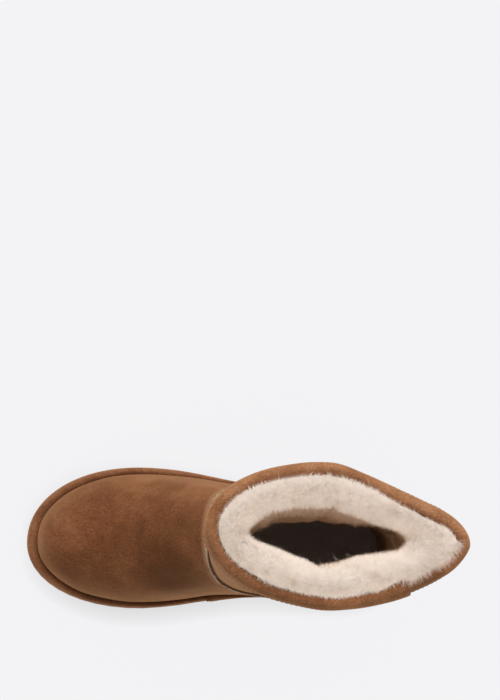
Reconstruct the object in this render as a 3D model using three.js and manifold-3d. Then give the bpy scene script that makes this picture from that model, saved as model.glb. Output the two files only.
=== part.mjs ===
// A short pull-on sheepskin boot for the right foot, in millimetres. +Z is up, +X towards the toe and
// +Y towards the inner side. Every form is worked out in boot space: x runs forward from the back of
// the heel, y is measured from the line between heel and toe tip, z up from the floor. The whole boot
// is laid flat first and the toe is bent up last.
import * as THREE from "three";
import { mergeVertices } from "three/addons/utils/BufferGeometryUtils.js";
import Module from "manifold-3d";

const wasm = await Module();
wasm.setup();

// ---- driving sizes ----
const soleLength = 268.5;
const heelRound = 39; // length of the rounded back of the sole
const toeRound = 80; // length of the rounded front of the sole
const outlineFullness = 2.1; // 2 is a true ellipse, more is squarer
const soleTop = 16;
const gap = 0.3; // clearance between pieces that touch
const featherLine = soleTop + gap; // where the upper, the rand and the insole stand on the sole
const bootHeight = 216;
const leatherTop = 207; // the cut edge of the skin, under the collar binding
const toeSpring = 10;
const springStart = 188; // just behind the ball, the sole is flat on the floor up to here
const around = 64; // points round every outline
const skinLevels = 30;
const liningLevels = 15;

// ---- the sole's half widths, from heel to toe, before its ends are rounded ----
const soleSections = [
  { x: 0, medial: 38.5, lateral: 38.5 },
  { x: 39, medial: 38.5, lateral: 38.5 },
  { x: 85, medial: 38.0, lateral: 40.8 },
  { x: 118, medial: 38.7, lateral: 44.3 },
  { x: 140, medial: 40.8, lateral: 48.6 },
  { x: 162, medial: 44.2, lateral: 52.4 },
  { x: 188, medial: 46.4, lateral: 54.2 },
  { x: soleLength, medial: 46.4, lateral: 54.2 },
];
const rimSections = [
  { x: 0, medial: 5.5, lateral: 5.5 },
  { x: 118, medial: 3.4, lateral: 4.0 },
  { x: 162, medial: 4.0, lateral: 6.0 },
  { x: soleLength, medial: 4.2, lateral: 6.4 },
];
const toeRim = 8; // how far the upper stands back from the toe of the sole
const baseTuck = 2.5; // the upper turns in this much at its foot
const tuckHeight = 14;

// ---- the vamp's top line, from inside the shaft down to the toe ----
const ridgeLine = [
  { x: 40, z: 122 },
  { x: 110, z: 120 },
  { x: 137, z: 116 },
  { x: 147, z: 108 },
  { x: 157, z: 98.5 },
  { x: 170, z: 88 },
  { x: 186, z: 77.5 },
  { x: 204, z: 69 },
  { x: 224, z: 62.5 },
  { x: 240, z: 56.5 },
  { x: 251, z: 49 },
  { x: 257, z: 40 },
  { x: 260.5, z: 24 },
];
const archFullness = 2.4; // roundness of the vamp's cross section
const footBack = 62; // where the foot body starts, inside the heel

// ---- level cuts through the heel, ankle and shaft ----
const shaftSizes = [
  { z: 16, back: 6.5, front: 150, medial: 33, lateral: 33 },
  { z: 32, back: 4.2, front: 150, medial: 35.4, lateral: 36 },
  { z: 55, back: 4, front: 149, medial: 35.6, lateral: 36.8 },
  { z: 80, back: 6.5, front: 146, medial: 36.6, lateral: 37.5 },
  { z: 108, back: 8, front: 144, medial: 38, lateral: 39 },
  { z: 140, back: 5, front: 147, medial: 39.6, lateral: 41 },
  { z: 175, back: -1, front: 149.4, medial: 41, lateral: 42.6 },
  { z: bootHeight, back: -6.8, front: 150.2, medial: 42.4, lateral: 43 },
];

// The cut is widest at the two side seams. frontTurn and backTurn move its ends sideways.
// fold goes from 0, an evenly rounded cut, to 1, the pressed diamond shape of the collar.
const shaftShapes = [
  { z: 16, medialSeam: 62, lateralSeam: 62, frontTurn: 0, backTurn: 0, fold: 0 },
  { z: 32, medialSeam: 62, lateralSeam: 62, frontTurn: 0, backTurn: 0, fold: 0 },
  { z: 55, medialSeam: 68, lateralSeam: 64, frontTurn: 0, backTurn: 0, fold: 0 },
  { z: 80, medialSeam: 76, lateralSeam: 68, frontTurn: 0, backTurn: 0.5, fold: 0.05 },
  { z: 108, medialSeam: 80, lateralSeam: 71, frontTurn: -0.3, backTurn: 1.5, fold: 0.15 },
  { z: 140, medialSeam: 82, lateralSeam: 73, frontTurn: -0.8, backTurn: 3, fold: 0.35 },
  { z: 175, medialSeam: 83, lateralSeam: 73, frontTurn: -1.4, backTurn: 4.4, fold: 0.65 },
  { z: bootHeight, medialSeam: 85, lateralSeam: 73, frontTurn: -2, backTurn: 5.4, fold: 1 },
];

// ---- how the collar is pressed, quarter by quarter ----
// A quarter narrows by taper on its way to the tip, along a line whose bow is 1 when straight, and
// its tip is rounded over the last stretch.
const collarQuarters = {
  medialFront: { taper: 0.33, bow: 1, round: 41 },
  lateralFront: { taper: 0.05, bow: 1, round: 74 },
  medialBack: { taper: 0.83, bow: 1.9, round: 12 },
  lateralBack: { taper: 0.78, bow: 1.12, round: 11 },
};
const plainRound = { Front: 88, Back: 46 }; // the same stretch where the cut is evenly rounded

// ---- wall, skin and wool together ----
const wallSections = [
  { z: 16, foot: 10.5, side: 10.5, front: 12, back: 10.5 },
  { z: 60, foot: 10.5, side: 11.5, front: 14, back: 12 },
  { z: 110, foot: 11.5, side: 15, front: 16, back: 15 },
  { z: 150, foot: 12, side: 18, front: 18, back: 22 },
  { z: 190, foot: 12, side: 19, front: 19, back: 32 },
  { z: bootHeight, foot: 12, side: 18, front: 19, back: 36 },
];
const liningTipRound = 14; // the lining's ends are rounded over this length
const slit = 3; // half width that stays open where the wool of both sides would meet

const hollow = 16; // how wide the soft hollow between foot and leg may be where both are thick

// ---- rings ----
const pathSteps = 400;
const toeCrowding = 1.15; // above 1 the rings lie closer together at the toe
const leastWidth = 0.4; // half width of a ring beside its tips
const collarEvening = 2; // over how many points the outward directions are evened out at the collar
const footEvening = 1; // and at the foot
const collarSlope = 8; // the collar's outward direction is taken over this height
const weldDistance = 1e-4;

// ---- rim of the upper and the tape of suede folded over it: distances out from the skin ----
const bindingDepth = 6.8; // how far the binding reaches in over the rim
const rimRound = 2.6; // the rim narrows by this much at its top
const rim = [
  { inset: bindingDepth + gap, z: leatherTop },
  { inset: bindingDepth + gap, z: 213 },
  { inset: bindingDepth + rimRound, z: 215.6 },
];
const liningTop = 214;
const bindingProfile = [
  { out: gap, z: 202 },
  { out: 1.5, z: 202 },
  { out: 1.7, z: 209 },
  { out: 1.2, z: 213.4 },
  { out: -0.6, z: 215.6 },
  { out: -2.7, z: 216.4 },
  { out: -5.0, z: 215.6 },
  { out: -bindingDepth, z: 213.2 },
  { out: -bindingDepth, z: leatherTop + gap },
  { out: gap, z: leatherTop + gap },
];

// ---- rand: across goes from 0 at the skin to 1 at the edge of the sole ----
const randInset = 0.4;
const randProfile = [
  { across: 0, z: featherLine },
  { across: 1, z: featherLine },
  { across: 1.04, z: 19 },
  { across: 1.02, z: 22 },
  { across: 0.88, z: 24.6 },
  { across: 0.62, z: 25.8 },
  { across: 0.34, z: 25.6 },
  { across: 0.12, z: 24.4 },
  { across: 0, z: 22.4 },
];

// ---- insole: distances in from the lining ----
const insoleSections = [
  { inset: 1.0, z: featherLine },
  { inset: 0.8, z: 22 },
  { inset: 1.6, z: 24 },
  { inset: 4.5, z: 25 },
];

// ---- outsole ----
const insetEase = 0.5; // below 1 an inset stays even further round the ends
const treadDepth = 3;
const waistRise = { from: 84, to: 122, height: 2.5, fade: 10 };
const bodySections = [
  { inset: 5, z: treadDepth },
  { inset: 2, z: 4.6 },
  { inset: 0.2, z: 8 },
  { inset: 0, z: 14.6 },
  { inset: 0.5, z: soleTop },
];
const treadZones = [
  { start: 6, end: 80, bars: 6 },
  { start: 124, end: 262, bars: 11 },
];
const treadGroove = 4.2;
const treadInset = 5.5;
const barSag = 7; // how far a bar's middle lies behind its ends
const barRoot = 2; // how far a bar is set into the body
const leastBar = 3; // half length of the shortest bar
const barSteps = 8;

// ---- heel counter: reach is the turn it covers, ends the height of its two ends ----
const counter = { foot: 26.5, top: 74, ends: 31, thickness: 1.5, reach: 2.05, fullness: 0.8 };
const counterGrid = { columns: 24, rows: 6, turnStep: 0.02, heightStep: 1 };

// ---- smooth line through a short table, with no overshoot ----
function lineThrough(rows, input, output) {
  const xs = rows.map((row) => row[input]);
  const ys = rows.map((row) => row[output]);
  const slopes = xs.slice(1).map((x, i) => (ys[i + 1] - ys[i]) / (x - xs[i]));
  const tangents = xs.map((_, i) => {
    const before = slopes[i - 1] ?? slopes[0];
    const after = slopes[i] ?? slopes[slopes.length - 1];
    return before * after <= 0 ? 0 : (2 * before * after) / (before + after);
  });
  return (x) => {
    if (x <= xs[0]) return ys[0];
    if (x >= xs[xs.length - 1]) return ys[ys.length - 1];
    const i = xs.findIndex((value) => value > x) - 1;
    const span = xs[i + 1] - xs[i];
    const t = (x - xs[i]) / span;
    const rise = ys[i + 1] - ys[i];
    const ease = t * t * (3 - 2 * t);
    const leave = t * (1 - t) * (1 - t) * span * tangents[i];
    const arrive = t * t * (t - 1) * span * tangents[i + 1];
    return ys[i] + rise * ease + leave + arrive;
  };
}

function columnsOf(rows, input) {
  const outputs = Object.keys(rows[0]).filter((key) => key !== input);
  const lines = outputs.map((key) => [key, lineThrough(rows, input, key)]);
  return (x) => Object.fromEntries(lines.map(([key, line]) => [key, line(x)]));
}

const sideName = (side) => (side > 0 ? "medial" : "lateral");
const soleAt = columnsOf(soleSections, "x");
const rimAt = columnsOf(rimSections, "x");
const shaftSizeAt = columnsOf(shaftSizes, "z");
const shaftShapeAt = columnsOf(shaftShapes, "z");
const shaftAt = (z) => ({ ...shaftSizeAt(z), ...shaftShapeAt(z) });
const wallAt = columnsOf(wallSections, "z");
const ridgeHeight = lineThrough(ridgeLine, "x", "z");
const noWall = { foot: 0, side: 0, front: 0, back: 0 };
const skinOf = () => noWall;

// Half width of a rounded end: 0 at its tip, 1 where the straight part starts.
function endRounding(distance, length) {
  const share = Math.max(0, 1 - Math.max(0, distance) / length);
  return (1 - share ** outlineFullness) ** (1 / outlineFullness);
}

function soleHalfWidth(x, side) {
  return soleAt(x)[sideName(side)] * endRounding(x, heelRound) * endRounding(soleLength - x, toeRound);
}

// ---- the foot: half width at a place and height, arched from the sole's edge up to the top line ----
function footHalfWidth(x, z, side, wall) {
  const front = soleLength - toeRim - wall.foot;
  const top = ridgeHeight(x) - wall.foot;
  if (x <= footBack || x >= front || z >= top) return 0;
  const base = soleAt(x)[sideName(side)] - rimAt(x)[sideName(side)] - wall.foot;
  const toe = endRounding(front - x, toeRound - toeRim);
  const rise = Math.max(0, (z - soleTop) / (top - soleTop));
  const arch = (1 - rise ** archFullness) ** (1 / archFullness);
  return base * toe * endRounding(x - footBack, heelRound) * arch;
}

// ---- the leg column: half width of the heel, ankle and shaft ----
function legHalfWidth(x, z, side, wall) {
  const cut = shaftAt(z);
  const seam = cut[sideName(side) + "Seam"];
  const end = x > seam ? "Front" : "Back";
  const tip = x > seam ? cut.front : cut.back;
  const distance = x > seam ? tip - x : x - tip;
  if (distance <= 0) return 0;
  const reach = Math.abs(tip - seam);
  const pressed = collarQuarters[sideName(side) + end];
  const taper = pressed.taper * cut.fold * (1 - distance / reach) ** pressed.bow;
  const round = THREE.MathUtils.lerp(Math.min(plainRound[end], reach), pressed.round, cut.fold);
  const outer = cut[sideName(side)] * (1 - taper) * endRounding(distance, round);
  if (wall.side === 0) return outer;
  const fromBack = x - cut.back - wall.back;
  const fromFront = cut.front - wall.front - x;
  if (fromBack <= 0 || fromFront <= 0) return 0;
  const ends = endRounding(fromBack, liningTipRound) * endRounding(fromFront, liningTipRound);
  return Math.max(slit, outer - wall.side) * ends;
}

// How far forward the foot reaches at a height: where the top line comes down to it.
function footReach(z, wall) {
  let [low, high] = [footBack, soleLength - toeRim - wall.foot];
  if (ridgeHeight(high) - wall.foot > z) return high;
  if (ridgeHeight(low) - wall.foot < z) return low;
  for (let i = 0; i < 40; i++) {
    const middle = (low + high) / 2;
    if (ridgeHeight(middle) - wall.foot > z) low = middle;
    else high = middle;
  }
  return low;
}

const backOf = (z, wall) => shaftAt(z).back + wall.back;
const frontOf = (z, wall) => Math.max(footReach(z, wall), shaftAt(z).front - wall.front);

function axisOffset(x, z) {
  const cut = shaftAt(z);
  const share = THREE.MathUtils.clamp((cut.front - x) / (cut.front - cut.back), 0, 1);
  return THREE.MathUtils.lerp(cut.frontTurn, cut.backTurn, share);
}

// The foot and the leg joined with a soft hollow between them.
function halfWidth(x, z, side, wall) {
  const foot = footHalfWidth(x, z, side, wall);
  const leg = legHalfWidth(x, z, side, wall);
  const size = Math.min(hollow, 2 * Math.min(foot, leg));
  const overlap = Math.max(0, size - Math.abs(foot - leg));
  return Math.max(foot, leg) + (size > 0 ? (overlap * overlap) / (4 * size) : 0);
}

// ---- rings on the skin or the lining: ring 0 is the foot of the upper, the last one its top ----
function frontPath(layer, top) {
  return Array.from({ length: pathSteps + 1 }, (_, i) => {
    const z = featherLine + ((top - featherLine) * i) / pathSteps;
    return new THREE.Vector3(frontOf(z, layer(z)), 0, z);
  });
}

function heightsAlong(points, count) {
  const lengths = [0];
  points.slice(1).forEach((p, i) => lengths.push(lengths[i] + p.distanceTo(points[i])));
  const total = lengths[lengths.length - 1];
  return Array.from({ length: count }, (_, k) => {
    const wanted = total * (k / (count - 1)) ** toeCrowding;
    const i = Math.max(1, lengths.findIndex((length) => length >= wanted - 1e-9));
    const t = (wanted - lengths[i - 1]) / (lengths[i] - lengths[i - 1]);
    return points[i - 1].z + (points[i].z - points[i - 1].z) * t;
  });
}

function tuckAt(z) {
  const share = THREE.MathUtils.clamp((z - featherLine) / tuckHeight, 0, 1);
  return baseTuck * (1 - share) ** 2;
}

// A ring whose front and back may lie at different heights.
function ringOf(layer, frontZ, backZ) {
  const front = frontOf(frontZ, layer(frontZ));
  const back = backOf(backZ, layer(backZ));
  const middle = (front + back) / 2;
  return Array.from({ length: around }, (_, j) => {
    const turn = (2 * Math.PI * j) / around;
    const side = Math.sin(turn) >= 0 ? 1 : -1;
    const share = (1 + Math.cos(turn)) / 2;
    const x = back + (front - back) * share;
    const z = backZ + (frontZ - backZ) * share;
    const tip = j % (around / 2) === 0;
    const width = tip ? 0 : Math.max(leastWidth, halfWidth(x, z, side, layer(z)));
    const tuck = tuckAt(z);
    const tucked = middle + (x - middle) * (1 - (2 * tuck) / (front - back));
    const half = Math.max(tip ? 0 : leastWidth, width - tuck * Math.abs(Math.sin(turn)));
    return new THREE.Vector3(tucked, side * half + axisOffset(x, z), z);
  });
}

const skinRing = (z) => ringOf(skinOf, z, z);

function ringsOf(layer, count, top) {
  return heightsAlong(frontPath(layer, top), count).map((z, i) => {
    const even = featherLine + ((top - featherLine) * i) / (count - 1);
    return ringOf(layer, z, even);
  });
}

const wrap = (list, i) => list[(i + list.length) % list.length];

// Outward directions on a stack of rings, evened out round each ring so that the wool fills sharp folds.
function outwardOf(rings, smoothing) {
  const raw = rings.map((ring, i) =>
    ring.map((_, j) => {
      const along = new THREE.Vector3().subVectors(wrap(ring, j + 1), wrap(ring, j - 1));
      const above = rings[Math.min(i + 1, rings.length - 1)][j];
      const up = new THREE.Vector3().subVectors(above, rings[Math.max(i - 1, 0)][j]);
      return along.cross(up).normalize();
    }),
  );
  return raw.map((ring) =>
    ring.map((_, j) => {
      const sum = new THREE.Vector3();
      for (let k = -smoothing; k <= smoothing; k++) sum.add(wrap(ring, j + k));
      return sum.normalize();
    }),
  );
}

function movedOut(ring, outward, distance) {
  return ring.map((p, j) => p.clone().addScaledVector(outward[j], distance));
}

// ---- solids from rings ----
function geometryOf(points, triangles) {
  const geometry = new THREE.BufferGeometry().setFromPoints(points);
  geometry.setIndex(triangles);
  return geometry;
}

// Walls between neighbouring rings. Rings run counterclockwise seen from above.
function walls(rings, closed) {
  const triangles = [];
  const last = closed ? rings.length : rings.length - 1;
  for (let i = 0; i < last; i++) {
    const low = i * around;
    const high = ((i + 1) % rings.length) * around;
    for (let j = 0; j < around; j++) {
      const next = (j + 1) % around;
      triangles.push(low + j, low + next, high + next, low + j, high + next, high + j);
    }
  }
  return triangles;
}

// A flat lid made of rungs between the two sides, so that it can bend along the boot.
function lid(start, facingUp) {
  const triangles = [];
  const add = (a, b, c) => triangles.push(...(facingUp ? [a, b, c] : [a, c, b]));
  const half = around / 2;
  add(start, start + 1, start + around - 1);
  for (let j = 1; j < half - 1; j++) {
    const [a, b] = [start + j, start + j + 1];
    const [c, d] = [start + around - j, start + around - j - 1];
    add(a, b, d);
    add(a, d, c);
  }
  add(start + half - 1, start + half, start + half + 1);
  return triangles;
}

const hoopSolid = (rings) => geometryOf(rings.flat(), walls(rings, true));

function stackSolid(rings) {
  const top = (rings.length - 1) * around;
  return geometryOf(rings.flat(), [...walls(rings, false), ...lid(0, false), ...lid(top, true)]);
}

// ---- the bend that lifts the toe, worked on every finished piece ----
function springAt(x) {
  const share = Math.max(0, x - springStart) / (soleLength - springStart);
  return toeSpring * share * share;
}

function bendToe(geometry) {
  const position = geometry.getAttribute("position");
  for (let i = 0; i < position.count; i++) {
    position.setZ(i, position.getZ(i) + springAt(position.getX(i)));
  }
  return geometry;
}

function manifoldOf(geometry) {
  const bare = geometry.clone();
  bare.deleteAttribute("normal");
  bare.deleteAttribute("uv");
  const merged = mergeVertices(bare, weldDistance);
  return new wasm.Manifold(
    new wasm.Mesh({
      numProp: 3,
      vertProperties: merged.getAttribute("position").array,
      triVerts: new Uint32Array(merged.index.array),
    }),
  );
}

function geometryOfManifold(solid) {
  const mesh = solid.getMesh();
  const geometry = new THREE.BufferGeometry();
  geometry.setAttribute("position", new THREE.BufferAttribute(mesh.vertProperties, 3));
  geometry.setIndex(new THREE.BufferAttribute(mesh.triVerts, 1));
  return geometry;
}

// ---- upper: one hollow skin-and-wool wall, open at the collar and underneath ----
// A ring moved out from the skin by a distance, at one height.
function collarRing(out, z) {
  const ring = skinRing(z);
  const outward = outwardOf([skinRing(z - collarSlope), ring], collarEvening)[1];
  return movedOut(ring, outward, out).map((p) => p.setZ(z));
}

const skin = ringsOf(skinOf, skinLevels, leatherTop);
const lining = ringsOf(wallAt, liningLevels, liningTop);

function makeUpper() {
  const top = rim.map(({ inset, z }) => collarRing(-inset, z));
  return bendToe(hoopSolid([...skin, ...top, ...[...lining].reverse()]));
}

// ---- collar binding ----
function makeBinding() {
  return hoopSolid(bindingProfile.map(({ out, z }) => collarRing(out, z)));
}

// ---- sole outline and the pieces that follow it ----
function soleRing(inset, z) {
  return Array.from({ length: around }, (_, j) => {
    const turn = (2 * Math.PI * j) / around;
    const side = Math.sin(turn) >= 0 ? 1 : -1;
    const x = (soleLength * (1 + Math.cos(turn))) / 2;
    const tip = j % (around / 2) === 0;
    const width = tip ? 0 : soleHalfWidth(x, side);
    const middle = soleLength / 2;
    const shrunk = middle + (x - middle) * (1 - inset / middle);
    const y = side * Math.max(0, width - inset * Math.abs(Math.sin(turn)) ** insetEase);
    return new THREE.Vector3(shrunk, y, z);
  });
}

// ---- rand: the suede-covered strip between the sole and the foot of the upper ----
function makeRand() {
  const outer = soleRing(randInset, 0);
  const rings = randProfile.map(({ across, z }) => {
    const ring = skinRing(z);
    const outward = outwardOf([ring, skinRing(z + 1)], footEvening)[0];
    const inner = movedOut(ring, outward, gap);
    return inner.map((p, j) => p.lerp(outer[j], across).setZ(z));
  });
  return bendToe(hoopSolid(rings));
}

// ---- insole: a wool-faced pad inside the wall ----
function makeInsole() {
  const base = lining[0];
  const above = base.map((p) => p.clone().setZ(p.z + 1));
  const outward = outwardOf([base, above], footEvening)[0];
  const rings = insoleSections.map(({ inset, z }) => {
    const ring = movedOut(base, outward, -inset);
    ring.forEach((p, j) => p.set(ring[Math.min(j, around - j)].x, p.y, z));
    return ring;
  });
  return bendToe(stackSolid(rings));
}

// ---- outsole: foam body with a raised waist, and tread bars ----
function waistAt(x) {
  const middle = (waistRise.from + waistRise.to) / 2;
  const half = (waistRise.to - waistRise.from) / 2 + waistRise.fade;
  const share = Math.max(0, 1 - ((x - middle) / half) ** 2);
  return waistRise.height * share;
}

function soleBody() {
  const rings = bodySections.map(({ inset, z }) => soleRing(inset, z));
  rings[0].forEach((p) => p.setZ(p.z + waistAt(p.x)));
  rings[1].forEach((p) => p.setZ(p.z + waistAt(p.x)));
  return stackSolid(rings);
}

// One curved bar across the sole, from x0 to x1 at its ends, rooted in the body.
function treadBar(x0, x1) {
  const points = [];
  const root = treadDepth + barRoot;
  const place = (x, side) => Math.max(leastBar, soleHalfWidth(x, side) - treadInset);
  for (let k = 0; k <= barSteps; k++) {
    const share = (2 * k) / barSteps - 1;
    const side = share >= 0 ? 1 : -1;
    const sag = barSag * (1 - share * share);
    for (const [edge, z] of [[x0, 0], [x1, 0], [x1, root], [x0, root]]) {
      const width = place(edge, side) * Math.abs(share);
      points.push(new THREE.Vector3(edge - sag, side * width, z));
    }
  }
  const triangles = [0, 1, 2, 0, 2, 3];
  for (let k = 0; k < barSteps; k++) {
    for (let m = 0; m < 4; m++) {
      const [a, b] = [4 * k + m, 4 * k + ((m + 1) % 4)];
      triangles.push(a, b + 4, b, a, a + 4, b + 4);
    }
  }
  const end = 4 * barSteps;
  triangles.push(end, end + 2, end + 1, end, end + 3, end + 2);
  return geometryOf(points, triangles);
}

function makeOutsole() {
  let solid = manifoldOf(soleBody());
  for (const { start, end, bars } of treadZones) {
    const pitch = (end - start + treadGroove) / bars;
    for (let i = 0; i < bars; i++) {
      const x0 = start + pitch * i;
      const clearOfHeel = i === 0 && start < heelRound ? barSag : 0;
      solid = solid.add(manifoldOf(treadBar(x0 + clearOfHeel, x0 + pitch - treadGroove)));
    }
  }
  return bendToe(geometryOfManifold(solid));
}

// ---- heel counter: a suede patch stitched over the heel, cut between two skins of the upper ----
function legPoint(turn, z) {
  const cut = shaftAt(z);
  const front = shaftSizes[0].front;
  const x = cut.back + ((front - cut.back) * (1 + Math.cos(turn))) / 2;
  const side = Math.sin(turn) >= 0 ? 1 : -1;
  const width = Math.abs(Math.sin(turn)) < 1e-6 ? 0 : halfWidth(x, z, side, noWall);
  return new THREE.Vector3(x, side * width + axisOffset(x, z), z);
}

function makeCounter() {
  const { foot, top, ends, thickness, reach, fullness } = counter;
  const { columns, rows, turnStep, heightStep } = counterGrid;
  const layers = [gap, gap + thickness].map((out) => {
    const grid = [];
    for (let i = 0; i <= rows; i++) {
      for (let k = 0; k <= columns; k++) {
        const share = (2 * k) / columns - 1;
        const turn = Math.PI + (share * reach) / 2;
        const edge = ends + (top - ends) * Math.cos((share * Math.PI) / 2) ** fullness;
        const z = foot + ((edge - foot) * i) / rows;
        const p = legPoint(turn, z);
        const sideways = legPoint(turn + turnStep, z).sub(legPoint(turn - turnStep, z));
        const upwards = legPoint(turn, z + heightStep).sub(legPoint(turn, z - heightStep));
        grid.push(p.addScaledVector(sideways.cross(upwards).normalize(), out));
      }
    }
    return grid;
  });
  const count = layers[0].length;
  const at = (layer, i, k) => layer * count + i * (columns + 1) + k;
  const triangles = [];
  const quad = (a, b, c, d) => triangles.push(a, b, c, a, c, d);
  for (let i = 0; i < rows; i++) {
    for (let k = 0; k < columns; k++) {
      quad(at(1, i, k), at(1, i, k + 1), at(1, i + 1, k + 1), at(1, i + 1, k));
      quad(at(0, i, k), at(0, i + 1, k), at(0, i + 1, k + 1), at(0, i, k + 1));
    }
    quad(at(0, i, 0), at(1, i, 0), at(1, i + 1, 0), at(0, i + 1, 0));
    quad(at(1, i, columns), at(0, i, columns), at(0, i + 1, columns), at(1, i + 1, columns));
  }
  for (let k = 0; k < columns; k++) {
    quad(at(0, 0, k), at(0, 0, k + 1), at(1, 0, k + 1), at(1, 0, k));
    quad(at(1, rows, k), at(1, rows, k + 1), at(0, rows, k + 1), at(0, rows, k));
  }
  return geometryOf(layers.flat(), triangles);
}

// ---- materials and assembly ----
const suede = new THREE.MeshStandardMaterial({ color: 0x8a5a3a, roughness: 0.95, metalness: 0 });
const tapeSuede = new THREE.MeshStandardMaterial({ color: 0x96683f, roughness: 0.95, metalness: 0 });
const wool = new THREE.MeshStandardMaterial({ color: 0xdccbbd, roughness: 1, metalness: 0 });
const foam = new THREE.MeshStandardMaterial({ color: 0x8b6242, roughness: 0.8, metalness: 0 });

const boot = new THREE.Group();
for (const [name, geometry, material] of [
  ["outsole", makeOutsole(), foam],
  ["rand", makeRand(), suede],
  ["upper", makeUpper(), suede],
  ["insole", makeInsole(), wool],
  ["collar_binding", makeBinding(), tapeSuede],
  ["heel_counter", makeCounter(), suede],
]) {
  const mesh = new THREE.Mesh(geometry, material);
  mesh.name = name;
  boot.add(mesh);
}

// The boot stands on z = 0 with the origin under the middle of its box.
const box = new THREE.Box3().setFromObject(boot);
const middle = box.getCenter(new THREE.Vector3());
const placed = new THREE.Group();
boot.position.set(-middle.x, -middle.y, -box.min.z);
placed.add(boot);

export default placed;
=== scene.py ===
import math
import random

import bmesh
import bpy
import numpy as np
from mathutils import Euler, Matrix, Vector, noise
from mathutils.bvhtree import BVHTree
from mathutils.kdtree import KDTree


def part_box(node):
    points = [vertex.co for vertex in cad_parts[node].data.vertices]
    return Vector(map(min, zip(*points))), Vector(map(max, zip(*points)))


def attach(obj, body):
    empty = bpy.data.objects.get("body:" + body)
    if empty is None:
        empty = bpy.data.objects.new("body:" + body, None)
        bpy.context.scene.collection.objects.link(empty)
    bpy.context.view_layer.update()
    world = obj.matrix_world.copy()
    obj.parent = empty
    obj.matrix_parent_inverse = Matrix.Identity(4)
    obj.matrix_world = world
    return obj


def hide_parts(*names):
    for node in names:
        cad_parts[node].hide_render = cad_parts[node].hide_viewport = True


# A right sheepskin boot: suede outside, wool inside, standing on a pale floor.
# Metres, +X to the toe, +Y to the inner side of the foot, +Z up.

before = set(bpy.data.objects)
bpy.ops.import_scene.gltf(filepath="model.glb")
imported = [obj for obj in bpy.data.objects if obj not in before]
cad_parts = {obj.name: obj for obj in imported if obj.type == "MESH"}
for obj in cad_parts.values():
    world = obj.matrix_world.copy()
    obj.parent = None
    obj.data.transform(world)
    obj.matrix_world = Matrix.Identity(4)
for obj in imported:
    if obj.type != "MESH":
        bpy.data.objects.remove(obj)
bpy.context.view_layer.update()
scene = bpy.context.scene
mm = 0.001

soleLow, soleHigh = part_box("outsole")
heelX, toeX = soleLow.x, soleHigh.x
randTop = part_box("rand")[1].z
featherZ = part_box("upper")[0].z  # the foot of the upper
collarLow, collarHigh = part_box("collar_binding")
collarZ = collarHigh.z
shaftCentre = (collarLow + collarHigh) / 2
ankleFront = Vector((collarHigh.x - 4.2 * mm, -2 * mm, 0.494 * collarZ))  # where shaft and vamp meet
print("frame loaded")


def deselectAll():
    if bpy.context.object and bpy.context.object.mode != "OBJECT":
        bpy.ops.object.mode_set(mode="OBJECT")
    bpy.ops.object.select_all(action="DESELECT")


def makeActive(piece):
    deselectAll()
    piece.select_set(True)
    bpy.context.view_layer.objects.active = piece


def editMode(piece):
    makeActive(piece)
    bpy.ops.object.mode_set(mode="EDIT")
    bpy.ops.mesh.select_mode(type="FACE")
    bpy.ops.mesh.select_all(action="DESELECT")


def objectMode():
    bpy.ops.object.mode_set(mode="OBJECT")


def pickFaces(piece, test):  # in edit mode: selects the faces that pass
    mesh = bmesh.from_edit_mesh(piece.data)
    for face in mesh.faces:
        face.select_set(bool(test(face)))
    bmesh.update_edit_mesh(piece.data)


def duplicate(source, name):  # a piece of its own, free of the source's parent and marks
    makeActive(source)
    bpy.ops.object.duplicate(linked=False)
    piece = bpy.context.object
    piece.parent = None
    for key in list(piece.keys()):
        del piece[key]
    piece.name = name
    piece.data.name = name
    return piece


# A copy of a CAD node as clean quads, ready to be finished.
def copyNode(node, name):
    piece = duplicate(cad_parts[node], name)
    editMode(piece)
    bpy.ops.mesh.select_all(action="SELECT")
    bpy.ops.mesh.remove_doubles(threshold=0.05 * mm)
    bpy.ops.mesh.tris_convert_to_quads(face_threshold=math.radians(60), shape_threshold=math.radians(70))
    objectMode()
    return piece


def applyModifier(piece, kind, **settings):
    makeActive(piece)
    modifier = piece.modifiers.new(kind.title(), kind)
    for key, value in settings.items():
        setattr(modifier, key, value)
    bpy.ops.object.modifier_apply(modifier=modifier.name)


def smooth(piece, levels):
    applyModifier(piece, "SUBSURF", levels=levels, render_levels=levels)
    bpy.ops.object.shade_smooth()


def meshFrom(name, points, faces):
    mesh = bpy.data.meshes.new(name)
    mesh.from_pydata([tuple(p) for p in points], [], faces)
    mesh.validate()
    piece = bpy.data.objects.new(name, mesh)
    scene.collection.objects.link(piece)
    makeActive(piece)
    bpy.ops.object.shade_smooth()
    return piece


def coordinates(piece):
    flat = np.empty(len(piece.data.vertices) * 3)
    piece.data.vertices.foreach_get("co", flat)
    return flat.reshape(-1, 3)


def normalsOf(piece):
    return np.array([v.normal for v in piece.data.vertices])


def setCoordinates(piece, points):
    piece.data.vertices.foreach_set("co", points.ravel())
    piece.data.update()


def setAttribute(piece, name, values):
    attribute = piece.data.attributes.get(name) or piece.data.attributes.new(name, "FLOAT", "POINT")
    attribute.data.foreach_set("value", np.asarray(values, np.float32))


def attributeOf(piece, name):
    values = np.empty(len(piece.data.vertices), np.float32)
    piece.data.attributes[name].data.foreach_get("value", values)
    return values


def bump(distance, width):  # 1 at 0, falling softly to 0
    return np.exp(-(distance / width) ** 2)


def unit(vectors):
    return vectors / np.linalg.norm(vectors, axis=1)[:, None]


def lumpiness(points, size, finer):  # soft noise with a finer half share, finer times as small
    fine = finer * size
    return np.array([noise.noise(Vector(p) / size) + 0.5 * noise.noise(Vector(p) / fine) for p in points])


def treeOf(piece):  # for rays and nearest places on its surface
    spots = [v.co.copy() for v in piece.data.vertices]
    return BVHTree.FromPolygons(spots, [tuple(p.vertices) for p in piece.data.polygons])


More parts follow.
